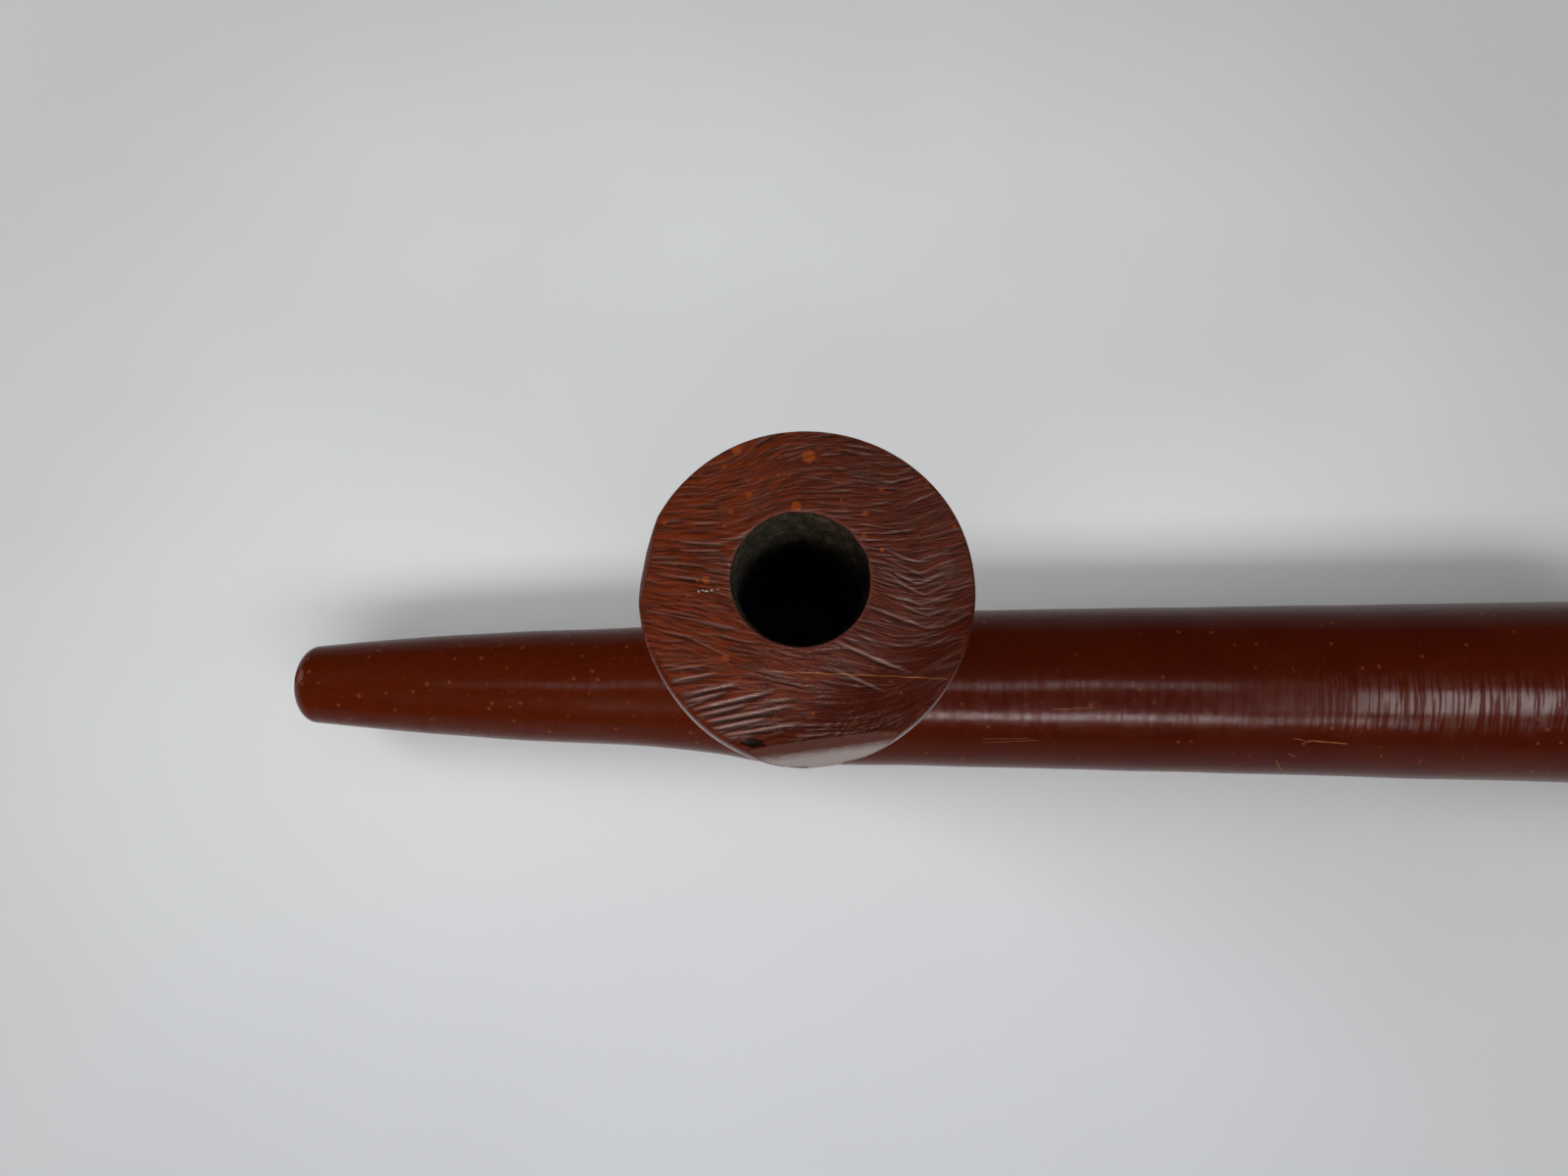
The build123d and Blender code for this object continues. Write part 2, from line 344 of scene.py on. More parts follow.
GOUGES = (  # single deep marks: place, heading, length, half width, depth
    (-10.9, -11.4, 12, 6.9, 0.24, 0.2), (-11.2, -12.2, 12, 4.8, 0.23, 0.19), (-8.1, -12.6, 13, 9.9, 0.26, 0.24),
    (-9.4, -13.7, 13, 6, 0.25, 0.23), (-6.5, -14.1, 11, 10.6, 0.26, 0.24), (-7.6, -15.2, 11, 6.6, 0.25, 0.23),
    (-5.2, -15.8, 9, 9.9, 0.23, 0.19), (-7.5, -16.6, 7, 3.3, 0.2, 0.12), (-13.4, -8.9, 6, 5, 0.2, 0.14),
    (-12.6, -10, 9, 5.6, 0.22, 0.15), (-3.6, -12.6, 8, 5.2, 0.18, 0.12),
    (-11.9, 5.5, -5, 6, 0.2, 0.14), (-12.1, 4.6, -3, 5.2, 0.18, 0.12), (-14.2, 3.1, -8, 6.4, 0.17, 0.12),
    (-13.2, 1.3, -9, 8.6, 0.18, 0.13), (-11.8, 7.9, 1, 3.9, 0.19, 0.11), (-12.2, -3.6, -12, 13, 0.15, 0.09),
    (-11.3, -6.5, -26, 6.2, 0.16, 0.1), (-13.6, -5.3, -14, 6, 0.14, 0.08), (-1.6, -10.6, -12, 6.9, 0.14, 0.09),
    (6, -7.2, -21, 7.4, 0.2, 0.15), (8.9, -8.4, -20, 5.8, 0.16, 0.11), (5.3, -10.1, -23, 7.7, 0.17, 0.12),
    (2.6, -6.8, 2, 4, 0.15, 0.1), (9.1, -2.7, -21, 6.8, 0.17, 0.12), (9.5, 1.7, -33, 4.4, 0.15, 0.09),
    (1.2, -15.2, 2, 9.8, 0.14, 0.09), (2, -16.2, 3, 8, 0.13, 0.08), (13.4, 11.3, 26, 4.9, 0.15, 0.1),
    (10.8, 13.4, 18, 4.3, 0.15, 0.09),
)
CHEVRONS = (  # bent strokes on the right: the corner's place, and each side's length
    (12.8, 2.2, 4.2, 4.5), (12.4, 1, 3, 5.2), (13.2, -0.2, 4.6, 4), (13, -1.5, 3.4, 4.6),
    (13.7, -2.8, 4, 3.2), (13.5, -4.2, 3, 3), (12.5, 3.5, 3.8, 4.6),
)
SMOOTH_PLACES = ((11.5, -11.6, 3.2), (13.3, -9.4, 2.4), (-6.5, 14, 3.4))  # barely filed: place, radius
CHIP = (-5.9, -16.9, 1.25, 0.5)  # place and half sizes of the pit at the front edge
SPOTS = (  # pale inclusions in the rim's stone: place, radius
    (0.1, 16.4, 0.8), (-8.3, 17.2, 0.6), (-6.8, 11.5, 0.4), (-1.3, 10.1, 0.62), (-9.7, 15.1, 0.26),
    (-12.6, 14.3, 0.14), (-3.4, 14, 0.2), (-2.1, 14, 0.17), (-8.8, 9.5, 0.25), (-11.5, 1.3, 0.42),
    (-12.5, 1.3, 0.22), (-9.2, -7.7, 0.38), (8.6, 12.3, 0.28), (6.7, 9.3, 0.36), (3.9, 10.9, 0.2),
    (17, 8.1, 0.24), (-16.5, 8.3, 0.24), (6.5, 6.6, 0.28), (8.5, 5, 0.28), (-5.4, 13.4, 0.17),
    (-9.5, 7.8, 0.17), (0.1, -9.9, 0.16), (0.7, -13.8, 0.19), (10.5, -11.4, 0.14),
)
WHITE_FLECKS = ((-12.3, 0, 0.09), (-11.8, 0.1, 0.08), (-11.4, 0, 0.12), (-10.8, 0.1, 0.09), (-10.1, 0.2, 0.08))
VEIN = (-6.5, 17.4, -9.1)  # a thin straight vein across the rim: from x, to x, and its y


def file_heading(plan):
    """Which way the file ran at each place, in radians."""
    grain = np.array(GRAIN, float)
    away = ((plan[:, None, :] - grain[None, :, :2]) ** 2).sum(-1)
    weight = np.exp(-away / (2 * 2 ** 2)) + 1e-12
    return np.radians((weight * grain[:, 2]).sum(1) / weight.sum(1))


def mark(plan, place, heading, length, half_width):
    """How deep in one mark each point lies, from 0 to 1, and how high on the burr beside it."""
    step = plan - place
    along = step[:, 0] * math.cos(heading) + step[:, 1] * math.sin(heading)
    across = step[:, 1] * math.cos(heading) - step[:, 0] * math.sin(heading)
    taper = np.clip(1 - (2 * along / length) ** 2, 0, 1)
    groove = np.exp(-(across / half_width) ** 2) * taper
    burr = np.exp(-((across - 1.45 * half_width) / (0.5 * half_width)) ** 2) * taper
    return groove, burr


def filing(plan):
    """Depth of the file's marks at each point, and the height of the burrs beside them."""
    depth, burrs = np.zeros(len(plan)), np.zeros(len(plan))
    calm = np.ones(len(plan))
    for x, y, radius in SMOOTH_PLACES:
        calm *= 1 - 0.8 * np.exp(-((plan - (x, y)) ** 2).sum(1) / radius ** 2)
    for count, lengths, half_widths, depths in FILINGS:
        out = BOWL_RADIUS * np.sqrt(RNG.uniform(0.12, 1, count))
        turn = RNG.uniform(0, 2 * math.pi, count)
        places = about_z(0, out, turn)[:, :2]
        headings = file_heading(places) + np.radians(RNG.normal(0, 5, count))
        sizes = np.column_stack([RNG.uniform(*limits, count) for limits in (lengths, half_widths, depths)])
        for place, heading, (length, half_width, deep) in zip(places, headings, sizes):
            near = np.flatnonzero(np.abs(plan - place).max(1) < 0.5 * length + 1)
            groove, burr = mark(plan[near], place, heading, length, half_width)
            depth[near] += deep * groove * calm[near]
            burrs[near] += 0.4 * deep * burr * calm[near]
    for x, y, heading, length, half_width, deep in GOUGES:
        groove, burr = mark(plan, (x, y), math.radians(heading), length, half_width)
        depth += deep * groove
        burrs += 0.6 * deep * burr
    for x, y, left, right in CHEVRONS:
        step = plan - (x, y)
        rise = 0.47 * (np.sqrt(step[:, 0] ** 2 + 0.2) - 0.45) + 0.08 * ripple(plan, 6, 7)
        ends = smoothstep(-left, -left + 1.5, step[:, 0]) * smoothstep(right, right - 1.5, step[:, 0])
        groove = np.exp(-((step[:, 1] - rise) / 0.13) ** 2) * ends
        burr = np.exp(-((step[:, 1] - rise - 0.22) / 0.1) ** 2) * ends
        depth += 0.08 * groove
        burrs += 0.04 * burr
    return 0.22 * np.tanh(depth / 0.22), burrs


def chip(points):
    """Depth of the broken pit at the rim's front edge."""
    x, y, wide, high = CHIP
    out = np.hypot((points[:, 0] - x) / wide, (points[:, 1] - y) / high)
    rough = 1 + 0.35 * ripple(points[:, :2], 0.7, 5)
    return 0.55 * np.clip(1 - out ** 2 * rough, 0, 1) ** 0.6


def dots(plan, places):
    """1 inside any of the small round places, fading out over their ragged edges."""
    inside = np.zeros(len(plan))
    for x, y, radius in places:
        near = np.flatnonzero(np.abs(plan - (x, y)).max(1) < 2 * radius)
        out = np.hypot(*(plan[near] - (x, y)).T) / radius * (1 + 0.12 * ripple(plan[near], 0.9, 4))
        inside[near] = np.maximum(inside[near], smoothstep(1.15, 0.8, out))
    return inside


# ---- bowl and rim
SHOULDER = ((84, 0), (85.2, 0.05), (86.1, 0.17), (86.7, 0.36), (87, 0.58), (87.1, 0.8))  # height, inset
FACETS = (  # planes filed across the rim's shoulder: direction, distance out, slope, height, pale dust and painted sheen left
    (-83, 16.7, 57, 87.3, 1), (171, 18.5, 72, 87.1, 0.15), (-12, 19, 76, 87.1, 0.3),
)
RIM_EDGE_Z, FILED_INSET = SHOULDER[-1]
CROWN_DROP = RIM_Z - RIM_EDGE_Z


def shoulder_share(turn):
    """How much of the shoulder is left: all of it in front, and hardly any at the back."""
    return 0.12 + 0.88 * (0.5 - 0.5 * np.sin(turn))


def out_of_round(turn):
    """The outline stands a little proud at the far diagonals and shy at the near ones."""
    diagonal = np.sin(turn) * np.cos(turn) ** 2
    return 0.78 * diagonal + 0.25 * np.maximum(np.sin(turn), 0) ** 4 - 0.08


def facet_plane(direction, reach, slope, z):
    """A filed facet's outward normal, and how far its plane is from the origin."""
    turn, slope = math.radians(direction), math.radians(slope)
    out = np.array([math.cos(turn), math.sin(turn), 0])
    normal = math.sin(slope) * out + (0, 0, math.cos(slope))
    return normal, (reach * out + (0, 0, z)) @ normal


def filed_facets(points):
    """Cuts points back to the planes filed across the shoulder."""
    for *plane, _ in FACETS:
        normal, far = facet_plane(*plane)
        points = points - np.maximum(points @ normal - far, 0)[..., None] * normal
    return points


def build_bowl():
    """The bowl from its foot on the shank up to the filed face's edge."""
    turn = circle(TUBE_COUNT)
    foot_x = FOOT_REACH_X * np.cos(turn)
    foot_turn = FOOT_REACH_TURN * np.sin(turn)
    foot_points = about_x(foot_x, tube_radius(foot_x), foot_turn)
    foot = head.add(foot_points)
    rise = about_z(NECK_Z, bowl_radius(NECK_Z), turn) - foot_points
    layers = [onto_union(foot_points + rise * share, BOWL_HEART) for share in np.linspace(0, 1, 17)[1:-1]]
    for z in np.linspace(NECK_Z, BOWL_WIDEST_Z - 1.5, 34):
        lift = smoothstep(NECK_Z, BOWL_WIDEST_Z, z)
        layers.append(about_z(z, bowl_radius(z) + out_of_round(turn) * lift, turn))
    for count, z in ((360, BOWL_WIDEST_Z - 0.7), (RIM_COUNT, BOWL_WIDEST_Z)):
        turn = circle(count)
        layers.append(filed_facets(about_z(z, bowl_radius(z) + out_of_round(turn), turn)))
    inset = curve(SHOULDER)
    for z in BOWL_WIDEST_Z + (RIM_EDGE_Z - BOWL_WIDEST_Z) * np.sin(np.linspace(0, math.pi / 2, 16))[1:]:
        radius = BOWL_RADIUS + out_of_round(turn) - inset(z) * shoulder_share(turn)
        layers.append(filed_facets(about_z(z, radius, turn)))
    return (foot, foot_x, foot_turn), head.loft(layers, [foot])


def face_radius(turn):
    """How far out the filed face reaches."""
    return BOWL_RADIUS + out_of_round(turn) - FILED_INSET * shoulder_share(turn)


def from_edge(plan):
    """How far out each place on the rim is, from 0 at the bowl's axis to 1 at the filed face's edge."""
    return np.hypot(plan[:, 0], plan[:, 1]) / face_radius(np.arctan2(plan[:, 1], plan[:, 0]))


def rim_surface(plan):
    """The shallow dome of the filed face, before the marks."""
    out = from_edge(plan)
    wander = 0.06 * ripple(plan, 9, 3)
    height = RIM_EDGE_Z + CROWN_DROP * 1.2 * (1 - out ** 2) + wander * smoothstep(1, 0.9, out)
    return np.column_stack([plan, height])


def build_rim(edge):
    """The filed face, from its outer edge in to the bore."""
    turn = circle(RIM_COUNT)
    outer = about_z(0, face_radius(turn), turn)[:, :2]
    inner = about_z(0, BORE_RADIUS, turn, BORE)[:, :2]
    layers = (filed_facets(rim_surface(outer + (inner - outer) * share)) for share in np.linspace(0, 1, 64)[1:])
    return head.loft(layers, [edge])


def build_chamber(bore_edge):
    """The drilled chamber and the draught passage, as far as the socket's floor."""
    turn = circle(45)
    layers = [about_z(RIM_Z - 0.7, BORE_RADIUS, circle(360), BORE)]
    for z in np.linspace(RIM_Z - 1.5, CHAMBER_FLOOR_Z, 22):
        layers.append(about_z(z, BORE_RADIUS, circle(180), BORE))
    halfway = 0.5 * (CHAMBER_FLOOR_Z + CONE_Z), 0.5 * (BORE_RADIUS + DRAUGHT_RADIUS)
    layers.append(about_z(*halfway, circle(90), BORE))
    corner_x, corner_z = BORE[0] + BEND, AXIS_Z + BEND
    for z in np.linspace(CONE_Z, corner_z, 10):
        layers.append(about_z(z, DRAUGHT_RADIUS, turn, BORE))
    side = BORE[1] + DRAUGHT_RADIUS * np.sin(turn)
    out = BEND - DRAUGHT_RADIUS * np.cos(turn)
    for angle in np.linspace(0, math.pi / 2, 9)[1:]:
        x, z = corner_x - out * math.cos(angle), corner_z - out * math.sin(angle)
        layers.append(np.column_stack([x, side, z]))
    for share in np.linspace(0, 1, 28)[1:]:
        ring = about_x(corner_x + (SOCKET_FLOOR_X - corner_x) * share, DRAUGHT_RADIUS, turn)
        ring[:, 1] += BORE[1] * (1 - smoothstep(0, 0.3, share))
        layers.append(ring)
    return head.loft(layers, [bore_edge])


def socket_radius(x):
    share = (x - SOCKET_FLOOR_X) / (END_X - SOCKET_FLOOR_X)
    return SOCKET_RADII[0] + share * (SOCKET_RADII[1] - SOCKET_RADII[0])


def build_end(airway, last_ring):
    """The tapered stem socket, and the shank's end face with its rounded edge."""
    layers = [about_x(SOCKET_FLOOR_X, 4.6, circle(90))]
    for x in np.linspace(SOCKET_FLOOR_X, END_X - SOCKET_BEVEL, 16):
        layers.append(about_x(x, socket_radius(x), turns))
    face_in = about_x(END_X, SOCKET_RADII[1] + SOCKET_BEVEL, turns)
    edges = []
    for angle in np.linspace(0, math.pi / 2, 7)[1:]:
        inset = END_ROUND * (1 - math.cos(angle))
        ring = about_x(END_X - END_ROUND * (1 - math.sin(angle)), tube_radius(END_X) - inset, turns)
        ring[:, 2] = np.maximum(ring[:, 2], inset)
        edges.append(ring)
    layers += [face_in + (edges[-1] - face_in) * share for share in np.linspace(0, 1, 8)[:-1]]
    head.loft(layers + edges[::-1], [airway], [last_ring])


def stone_head():
    """The whole head as one closed skin, with what its material needs to know at each point."""
    last_ring, opening = build_tube()
    outside = head.size
    foot, edge = build_bowl()
    fill_patch(*opening, *foot)
    bore_edge = build_rim(edge)
    skin = head.size
    build_end(build_chamber(bore_edge), last_ring)

    points = np.concatenate(head.points)
    plan = points[:, :2]
    face = np.zeros(len(points))
    out = from_edge(plan[:skin])
    on_face = (points[:skin, 2] > RIM_EDGE_Z - 0.9) & (np.arange(skin) >= outside)
    wobble = 0.02 * ripple(plan[:skin], 2, 8)
    face[:skin] = on_face * smoothstep(1.035, 0.985, out + wobble)
    on_facet = np.zeros(len(points))
    for *plane, dust_and_sheen in FACETS:
        normal, far = facet_plane(*plane)
        touching = np.abs(points[:skin] @ normal - far) < 0.02
        on_facet[:skin] = np.maximum(on_facet[:skin], dust_and_sheen * touching)
    on_facet *= points[:, 2] > BOWL_WIDEST_Z - 6
    face *= on_facet == 0
    marks, burrs = filing(plan)
    pit = chip(points) * (face > 0)
    at_bore = smoothstep(0.5, 0, np.hypot(*(plan - BORE).T) - BORE_RADIUS) * (face > 0)
    points[:, 2] += face * (burrs - marks) - pit - 0.12 * at_bore ** 2
    sway = 0.05 * np.column_stack([ripple(points[:skin], 16, seed) for seed in (21, 22, 23)])
    sway *= smoothstep(0.2, 2, points[:skin, 2:])  # none on the resting flat, nor at the socket
    points[:skin] += sway * smoothstep(END_X, END_X - 3, points[:skin, :1])
    broken = flake(points)
    points[:, 0] += 0.3 * broken
    points[:, 2] -= 0.3 * broken
    spot = dots(plan, SPOTS) * (face > 0.5)
    fleck = dots(plan, WHITE_FLECKS) * (face > 0.5)
    head.points = [points]
    return head.object("stone_head", {
        "spot": spot,
        "fleck": fleck,
        "filed": face,
        "facet": on_facet,
        "heading": np.clip(np.degrees(file_heading(plan)) / 30, -1, 1) * (face > 0),
        "groove": face * np.clip(marks / 0.12, 0, 1),
        "burr": np.maximum(face * np.clip(burrs / 0.09, 0, 1), 0.5 * broken),
        "pit": np.clip(pit / 0.12, 0, 1),
        "bore_edge": at_bore,
    })


# ---- carbon lining
def carbon_crust():
    """The crust of carbon in the chamber: flaky inside, and ragged at its upper edge."""
    crust = Surface()
    turn = circle(300)
    top = RIM_Z - 0.3 + 0.22 * ripple(about_z(0, 8, turn)[:, :2], 3, 31)
    skin = BORE_RADIUS - 0.01
    layers = []
    for share in np.linspace(0, 1, 12):
        layers.append(about_z(CHAMBER_FLOOR_Z + (top - CHAMBER_FLOOR_Z) * share, skin, turn, BORE))
    depths = np.concatenate([np.linspace(0, 14, 70), np.linspace(14.5, 41, 40), np.linspace(41.8, 44.4, 4)])
    for depth in depths:
        z = top - depth * (top - CHAMBER_FLOOR_Z - 0.4) / depths[-1]
        ring = about_z(z, BORE_RADIUS, turn, BORE)
        flakes = 0.55 * ripple(ring, 2.6, 32) + 0.35 * ripple(ring, 0.9, 33) + 0.2 * ripple(ring, 0.45, 34)
        thick = 0.42 * smoothstep(-0.15, 1.2, depth) + 0.2 * flakes * smoothstep(0, 0.8, depth)
        layers.append(about_z(z, skin - np.clip(thick, 0.03, 0.8), turn, BORE))
    for share in np.linspace(0, 1, 9)[1:]:
        z = CHAMBER_FLOOR_Z + 0.4 + (CONE_Z - CHAMBER_FLOOR_Z) * share
        radius = BORE_RADIUS - 0.45 + (DRAUGHT_RADIUS - BORE_RADIUS + 0.45) * share
        layers.append(about_z(z, radius, turn, BORE))
    layers.append(about_z(CONE_Z, DRAUGHT_RADIUS, turn, BORE))
    crust.loft(layers, closed=True)
    return crust.object("carbon_crust")


# ---- wooden stem and its gasket
TENON_GAP = 0.65  # how far the tenon lies below the socket's wall
LAPS = 5  # turns of the leather strip
STEM_OUTLINE = (
    (END_X + 1.2, 10.5), (END_X + 45, 11.4), (END_X + 170, 9.6), (END_X + 280, 7), (STEM_END_X - 16, 5.7),
    (STEM_END_X - 4, 6.4),
)
KNOTS = ((238, 40, 1), (331, 200, 0.8), (402, 300, 0.6))  # place along, turn in degrees, height in tenths


def wooden_stem():
    """A whittled stem: tenon, shoulder, slow taper and a rounded mouth end, bored through."""
    stem = Surface()
    turn = circle(96)
    outline = curve(STEM_OUTLINE)
    layers = []

    def ring(x, radius):
        layers.append(about_x(x, radius, turn))

    for share in (0, 0.5):
        ring(TENON_X, DRAUGHT_RADIUS + share * 3)
    ring(TENON_X, socket_radius(TENON_X) - TENON_GAP - 0.4)
    for x in np.linspace(TENON_X + 0.4, END_X - 0.3, 24):
        ring(x, socket_radius(x) - TENON_GAP)
    ring(END_X, socket_radius(END_X) - TENON_GAP)
    ring(END_X, 8.6)
    for angle in np.linspace(0, math.pi / 2, 7):
        ring(END_X + 1.2 * (1 - math.cos(angle)), 10.5 - 1.2 * (1 - math.sin(angle)))
    for x in np.linspace(END_X + 1.2, STEM_END_X - 4, 210)[1:]:
        points = about_x(x, outline(x), turn)
        free = float(smoothstep(END_X + 1, END_X + 12, x) * smoothstep(STEM_END_X - 8, STEM_END_X - 30, x))
        swell = 0.16 * ripple(points * (0.12, 1, 1), 14, 41) + 0.07 * ripple(points * (0.05, 1, 1), 5, 42)
        for place, degrees, height in KNOTS:
            off_turn = (turn - math.radians(degrees) + math.pi) % (2 * math.pi) - math.pi
            swell += 0.35 * height * np.exp(-((x - place) / 5) ** 2 - (off_turn / 0.45) ** 2)
            swell -= 0.5 * height * np.exp(-((x - place) / 1.3) ** 2 - (off_turn / 0.14) ** 2)
        ring(x, outline(x) + free * np.clip(swell, -0.5, 0.35))
    for angle in np.linspace(0, math.pi / 2, 8)[1:]:
        ring(STEM_END_X - 4 + 4 * math.sin(angle), 3.7 + 2.7 * math.cos(angle) ** 0.8)
    ring(STEM_END_X, 3.1)
    ring(STEM_END_X - 0.5, DRAUGHT_RADIUS)
    for x in np.linspace(STEM_END_X - 8, TENON_X, 40)[:-1]:
        ring(x, DRAUGHT_RADIUS)
    stem.loft(layers, closed=True)
    return stem.object("wooden_stem")


def leather_gasket():
    """A thin leather strip wound round the tenon, its laps standing slightly proud."""
    gasket = Surface()
    turn = circle(180)
    layers = []
    low, high = gasket_low[0], gasket_high[0]
    for x in np.linspace(low, high, 90):
        share = (LAPS * (x - low) / (high - low) + turn / (2 * math.pi)) % 1
        lap = smoothstep(0, 0.06, share) * smoothstep(1, 0.94, share)
        ends = smoothstep(low - 0.01, low + 0.3, x) * smoothstep(high + 0.01, high - 0.3, x)
        grain = 0.03 * np.abs(ripple(about_x(x, socket_radius(x), turn), 1.2, 51))
        layers.append(about_x(x, socket_radius(x) - 0.06 - 0.18 * (1 - lap * ends) - grain, turn))
    for x in np.linspace(high, low, 12):
        layers.append(about_x(x, socket_radius(x) - TENON_GAP + 0.005, turn))
    gasket.loft(layers, closed=True)
    return gasket.object("leather_gasket")


# ---- materials
class Recipe:
    """A material's nodes, added one short call at a time. Places are in millimetres."""

    def __init__(self, name):
        self.material = bpy.data.materials.new(name)
        self.material.use_nodes = True
        self.nodes = self.material.node_tree.nodes
        self.shader = self.nodes["Principled BSDF"]
        place = self.add("ShaderNodeTexCoord").outputs["Object"]
        self.place = self.add("ShaderNodeVectorMath", {0: place, "Scale": 1 / MM}, operation="SCALE").outputs[0]
        self.x, self.y, self.z = self.add("ShaderNodeSeparateXYZ", {0: self.place}).outputs

    def add(self, kind, inputs=None, **settings):
        """A node with its settings, and its inputs set to values or joined to sockets."""
        node = self.nodes.new(kind)
        for key, value in settings.items():
            setattr(node, key, value)
        for key, value in (inputs or {}).items():
            self.give(node.inputs[key], value)
        return node

    def give(self, socket, value):
        if isinstance(value, bpy.types.NodeSocket):
            self.material.node_tree.links.new(value, socket)
        elif socket.type == "RGBA":
            socket.default_value = (*value, 1)
        else:
            socket.default_value = value

    def attribute(self, name):
        return self.add("ShaderNodeAttribute", attribute_name=name).outputs["Fac"]

    def stretched(self, by, turn=0):
        """The place with each axis multiplied: a pattern on it runs along the small ones, turned about Z."""
        seen = self.place
        if turn:
            inputs = {"Vector": self.place, "Angle": -math.radians(turn)}
            seen = self.add("ShaderNodeVectorRotate", inputs, rotation_type="Z_AXIS").outputs[0]
        return self.add("ShaderNodeVectorMath", {0: seen, 1: by}, operation="MULTIPLY").outputs[0]

    def noise(self, scale, by=(1, 1, 1), detail=4, rough=0.55, turn=0):
        inputs = {"Vector": self.stretched(by, turn), "Scale": scale, "Detail": detail, "Roughness": rough}
        return self.add("ShaderNodeTexNoise", inputs).outputs["Fac"]

    def cells(self, scale):
        """How far each place is from its cell's middle, in cells, and the cell's random colour."""
        node = self.add("ShaderNodeTexVoronoi", {"Vector": self.place, "Scale": scale})
        return node.outputs["Distance"], node.outputs["Color"]

    def strokes(self, length, width, turn):
        """Short thin strokes scattered over the plan at one heading, from 0 to 1 in their middles."""
        seen = self.stretched((1 / length, 1 / width, 0), turn)
        node = self.add("ShaderNodeTexVoronoi", {"Vector": seen, "Scale": 1}, voronoi_dimensions="2D")
        return self.span(node.outputs["Distance"], 0.3, 0.08)

    def math(self, operation, *values):
        return self.add("ShaderNodeMath", dict(enumerate(values)), operation=operation).outputs[0]

    def times(self, a, b):
        return self.math("MULTIPLY", a, b)

    def plus(self, a, b):
        return self.math("ADD", a, b)

    def minus(self, a, b):
        return self.math("SUBTRACT", a, b)

    def larger(self, a, b):
        return self.math("MAXIMUM", a, b)

    def size(self, a):
        return self.math("ABSOLUTE", a)

    def between(self, share, a, b):
        """The value a where share is 0, and b where it is 1."""
        return self.plus(a, self.times(share, self.minus(b, a)))

    def span(self, value, low, high, to_low=0, to_high=1):
        """Maps low to high smoothly onto to_low to to_high."""
        inputs = {"Value": value, "From Min": low, "From Max": high, "To Min": to_low, "To Max": to_high}
        return self.add("ShaderNodeMapRange", inputs, interpolation_type="SMOOTHSTEP").outputs[0]

    def blend(self, share, a, b):
        """Colour a where share is 0, and b where it is 1."""
        node = self.add("ShaderNodeMix", data_type="RGBA")
        colours = [socket for socket in node.inputs if socket.type == "RGBA"]
        self.give(node.inputs[0], share)
        self.give(colours[0], a)
        self.give(colours[1], b)
        return next(socket for socket in node.outputs if socket.type == "RGBA")

    def bump(self, height, depth, below=None):
        """Raises the skin by height times depth millimetres, on top of the bump below."""
        inputs = {"Height": height, "Distance": depth * MM, "Strength": 1}
        if below is not None:
            inputs["Normal"] = below
        return self.add("ShaderNodeBump", inputs).outputs["Normal"]

    def finish(self, **inputs):
        """Joins up the shader's inputs, named with underscores for spaces, and returns the material."""
        for key, value in inputs.items():
            self.give(self.shader.inputs[key.replace("_", " ")], value)
        return self.material


def file_lines(stone):
    """Fine lines that follow the file's heading: how much painted shade, and how much painted sheen, each place
    gets, from 0 to 1.
    """
    heading = stone.attribute("heading")
    dark, bright = 0, 0
    for degrees in (-30, -15, 0, 15, 30):
        off = stone.size(stone.minus(heading, degrees / 30))
        share = stone.span(off, 0.45, 0.2)
        lines = stone.noise(1, by=(0.13, 3.4, 0), detail=3, rough=0.6, turn=degrees)
        cut = stone.larger(stone.strokes(8, 0.5, degrees + 2), stone.strokes(5, 0.34, degrees - 3))
        cut = stone.larger(cut, stone.span(lines, 0.42, 0.36))
        ridge = stone.larger(stone.strokes(7, 0.36, degrees + 3), stone.span(lines, 0.6, 0.68))
        dark = stone.larger(dark, stone.times(share, cut))
        bright = stone.larger(bright, stone.times(share, ridge))
    return dark, bright


SCRATCHES = (  # from x and turn in degrees, to x and turn, half width
    (81, -40.5, 84.2, -44.5, 0.09), (83.5, -42.5, 90.2, -44.5, 0.17), (30, -49.5, 39.8, -46.5, 0.07),
    (30, -46, 38, -45, 0.06), (41.2, -22.5, 48.5, -21, 0.08), (79.5, -60, 83.2, -85.5, 0.14),
    (81, -54, 82.8, -57.5, 0.12), (103.2, -62, 103.4, -56, 0.13), (96, -52, 96.8, -56, 0.09),
    (80.5, 7, 80.8, 3.5, 0.08), (42.2, 5.5, 42.4, 2.5, 0.07),
)


STREAKED_Y = -3.9  # the middle of the streaked band along the shank


def vein(stone):
    """A hair-thin straight vein of tan stone across the rim."""
    low, high, y = VEIN
    x = stone.x
    off = stone.minus(stone.y, stone.times(stone.noise(0.4), 0.3))
    off = stone.plus(off, stone.times(stone.minus(x, low), 0.028))
    thin = stone.span(stone.size(stone.minus(off, y - 0.15)), 0.09, 0.03)
    within = stone.times(stone.span(x, low - 0.5, low + 2), stone.span(x, high + 0.5, high - 0.5))
    clear = stone.span(stone.noise(0.22, detail=2), 0.42, 0.6, 0.35, 1)
    return stone.times(stone.times(thin, clear), within)


